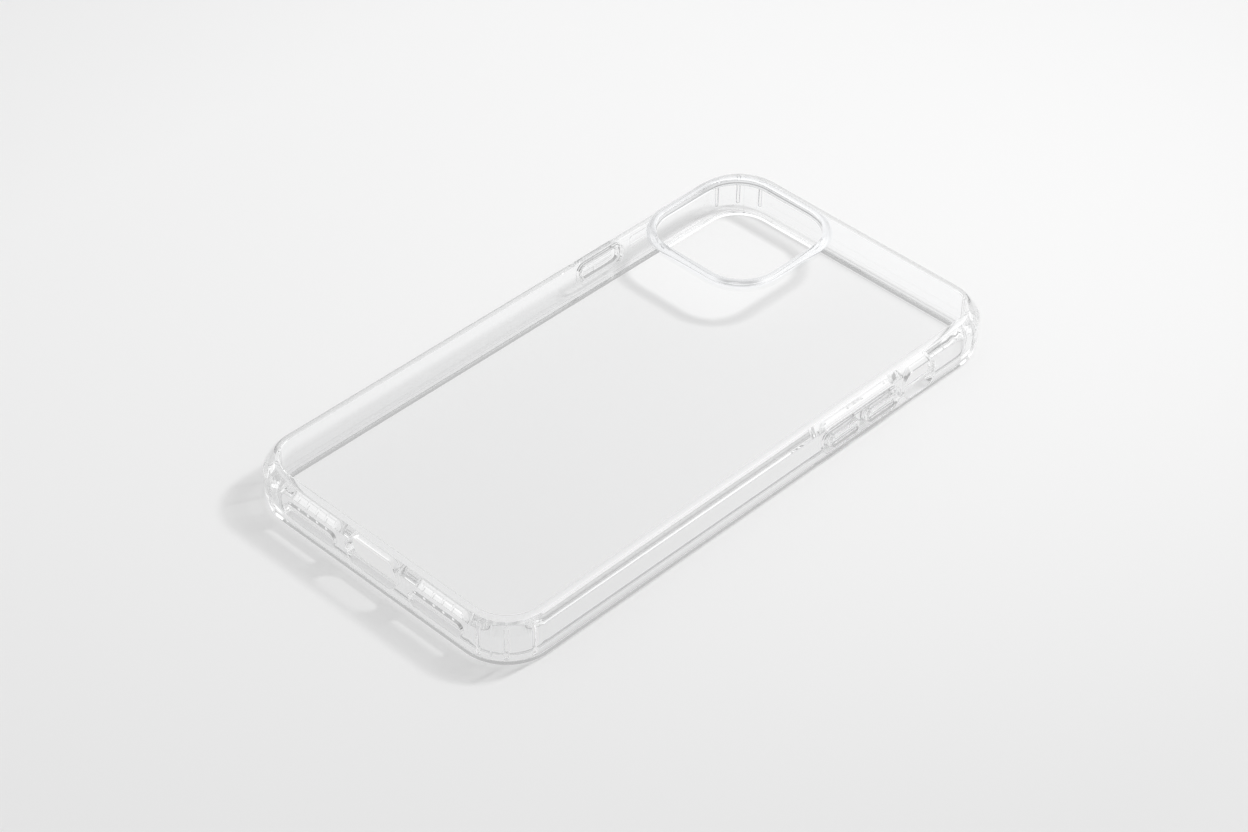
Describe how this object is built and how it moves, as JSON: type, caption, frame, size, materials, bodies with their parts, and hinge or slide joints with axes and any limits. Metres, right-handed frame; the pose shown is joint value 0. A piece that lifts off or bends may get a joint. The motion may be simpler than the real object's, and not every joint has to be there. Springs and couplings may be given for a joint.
{
  "type": "phone case",
  "caption": "Clear phone case: a hard back plate in a soft frame with padded corners, a raised camera ring and sprung side buttons.",
  "frame": {"origin": "centre of the case's outline, in the plane of the screen rim that it rests on", "axes": "+Z out through the back plate, +Y towards the camera end, +X towards the volume buttons"},
  "size_m": [0.0812, 0.1556, 0.0123],
  "materials": {
    "clear_hard_plastic": "clear, polished",
    "clear_ring_plastic": "clear, polished",
    "clear_soft_frame": "clear, glossy",
    "clear_soft_web": "clear, glossy",
    "clear_soft_button": "clear, glossy",
    "clear_soft_cushion": "clear, glossy"
  },
  "bodies": {
    "case_shell": {"back_plate": "clear_hard_plastic", "bumper_frame": "clear_soft_frame", "camera_guard_ring": "clear_ring_plastic", "volume_button_web": "clear_soft_web", "power_button_web": "clear_soft_web", "top_left_corner_cushion": "clear_soft_cushion", "top_right_corner_cushion": "clear_soft_cushion", "bottom_left_corner_cushion": "clear_soft_cushion", "bottom_right_corner_cushion": "clear_soft_cushion"},
    "volume_up_pad": {"volume_up_button": "clear_soft_button"},
    "volume_down_pad": {"volume_down_button": "clear_soft_button"},
    "power_pad": {"power_button": "clear_soft_button"}
  },
  "joints": [
    {"name": "volume_up_press", "type": "slide", "parent": "case_shell", "child": "volume_up_pad", "axis": [-1, 0, 0], "range_m": [0, 0.0004], "stiffness_N_per_m": 2500, "springref_m": -0.0002},
    {"name": "volume_down_press", "type": "slide", "parent": "case_shell", "child": "volume_down_pad", "axis": [-1, 0, 0], "range_m": [0, 0.0004], "stiffness_N_per_m": 2500, "springref_m": -0.0002},
    {"name": "power_press", "type": "slide", "parent": "case_shell", "child": "power_pad", "axis": [1, 0, 0], "range_m": [0, 0.0004], "stiffness_N_per_m": 2500, "springref_m": -0.0002}
  ]
}
